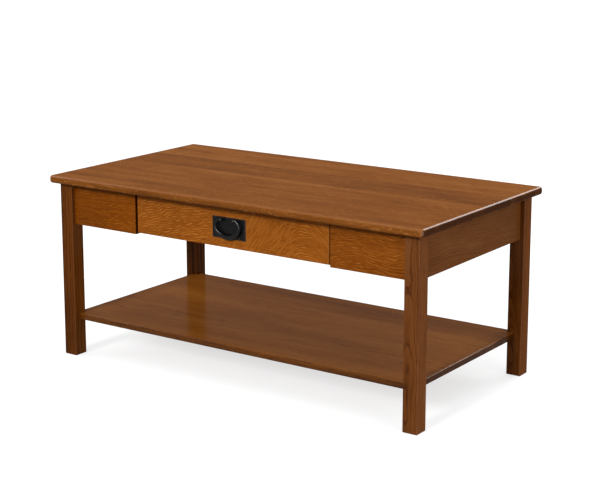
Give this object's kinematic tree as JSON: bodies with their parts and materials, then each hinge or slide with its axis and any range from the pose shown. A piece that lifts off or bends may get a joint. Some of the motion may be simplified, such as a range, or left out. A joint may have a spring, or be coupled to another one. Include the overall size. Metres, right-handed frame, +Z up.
{
  "type": "coffee table with drawer",
  "caption": "Low oak table with a rounded overhanging top, a wide front drawer on metal slides, an iron bail pull and a lower shelf between square legs.",
  "frame": {"origin": "on the floor under the middle of the top", "axes": "+X along the length to the right as seen from the drawer side, +Y to the back, +Z up"},
  "size_m": [1.058, 0.564, 0.457],
  "materials": {
    "oak_top": "satin stained oak",
    "oak_leg": "satin stained oak",
    "oak_apron": "satin stained quarter-sawn oak",
    "oak_drawer": "satin stained quarter-sawn oak",
    "oak_shelf": "satin stained oak",
    "inner_wood": "clear finish on pale wood",
    "box_wood": "clear finish on pale wood",
    "panel_wood": "clear finish on pale plywood",
    "dowel_wood": "raw wood",
    "zinc_steel": "zinc plated",
    "screw_steel": "zinc plated",
    "black_iron": "black hand-hammered iron"
  },
  "bodies": {
    "frame": {"table_top": "oak_top", "leg_front_left": "oak_leg", "leg_front_right": "oak_leg", "leg_back_left": "oak_leg", "leg_back_right": "oak_leg", "apron_back": "oak_apron", "apron_left": "oak_apron", "apron_right": "oak_apron", "apron_front_left": "oak_apron", "apron_front_right": "oak_apron", "drawer_guide_left": "inner_wood", "drawer_guide_right": "inner_wood", "drawer_rail": "inner_wood", "lower_shelf": "oak_shelf", "shelf_dowels": "dowel_wood", "rail_screws": "screw_steel", "top_clips": "zinc_steel", "top_clip_screws": "screw_steel", "slide_outer_left": "zinc_steel", "slide_outer_right": "zinc_steel", "slide_outer_screws": "screw_steel"},
    "carriage_left": {"slide_middle_left": "zinc_steel"},
    "carriage_right": {"slide_middle_right": "zinc_steel"},
    "cage_outer_left": {"slide_cage_outer_left": "zinc_steel"},
    "cage_outer_right": {"slide_cage_outer_right": "zinc_steel"},
    "cage_inner_left": {"slide_cage_inner_left": "zinc_steel"},
    "cage_inner_right": {"slide_cage_inner_right": "zinc_steel"},
    "drawer": {"drawer_front": "oak_drawer", "drawer_front_screws": "screw_steel", "drawer_box_front": "box_wood", "drawer_box_back": "box_wood", "drawer_side_left": "box_wood", "drawer_side_right": "box_wood", "drawer_bottom": "panel_wood", "slide_inner_left": "zinc_steel", "slide_inner_right": "zinc_steel", "slide_inner_screws": "screw_steel", "pull_plate": "black_iron", "pull_posts": "black_iron", "pull_nuts": "screw_steel"},
    "bail": {"pull_bail": "black_iron"}
  },
  "joints": [
    {"name": "drawer_slide", "type": "slide", "parent": "frame", "child": "drawer", "axis": [0, -1, 0], "range_m": [0, 0.4]},
    {"name": "carriage_left_slide", "type": "slide", "parent": "frame", "child": "carriage_left", "axis": [0, -1, 0], "range_m": [0, 0.2]},
    {"name": "cage_outer_left_slide", "type": "slide", "parent": "frame", "child": "cage_outer_left", "axis": [0, -1, 0], "range_m": [0, 0.1]},
    {"name": "cage_inner_left_slide", "type": "slide", "parent": "frame", "child": "cage_inner_left", "axis": [0, -1, 0], "range_m": [0, 0.3]},
    {"name": "carriage_right_slide", "type": "slide", "parent": "frame", "child": "carriage_right", "axis": [0, -1, 0], "range_m": [0, 0.2]},
    {"name": "cage_outer_right_slide", "type": "slide", "parent": "frame", "child": "cage_outer_right", "axis": [0, -1, 0], "range_m": [0, 0.1]},
    {"name": "cage_inner_right_slide", "type": "slide", "parent": "frame", "child": "cage_inner_right", "axis": [0, -1, 0], "range_m": [0, 0.3]},
    {"name": "bail_pivot", "type": "hinge", "parent": "drawer", "child": "bail", "pos_m": [0, -0.255, 0.405], "axis": [-1, 0, 0], "range_deg": [0, 110]}
  ],
  "couplings": [
    {"joint": "carriage_left_slide", "follows": "drawer_slide", "ratio": 0.5},
    {"joint": "cage_outer_left_slide", "follows": "drawer_slide", "ratio": 0.25},
    {"joint": "cage_inner_left_slide", "follows": "drawer_slide", "ratio": 0.75},
    {"joint": "carriage_right_slide", "follows": "drawer_slide", "ratio": 0.5},
    {"joint": "cage_outer_right_slide", "follows": "drawer_slide", "ratio": 0.25},
    {"joint": "cage_inner_right_slide", "follows": "drawer_slide", "ratio": 0.75}
  ]
}
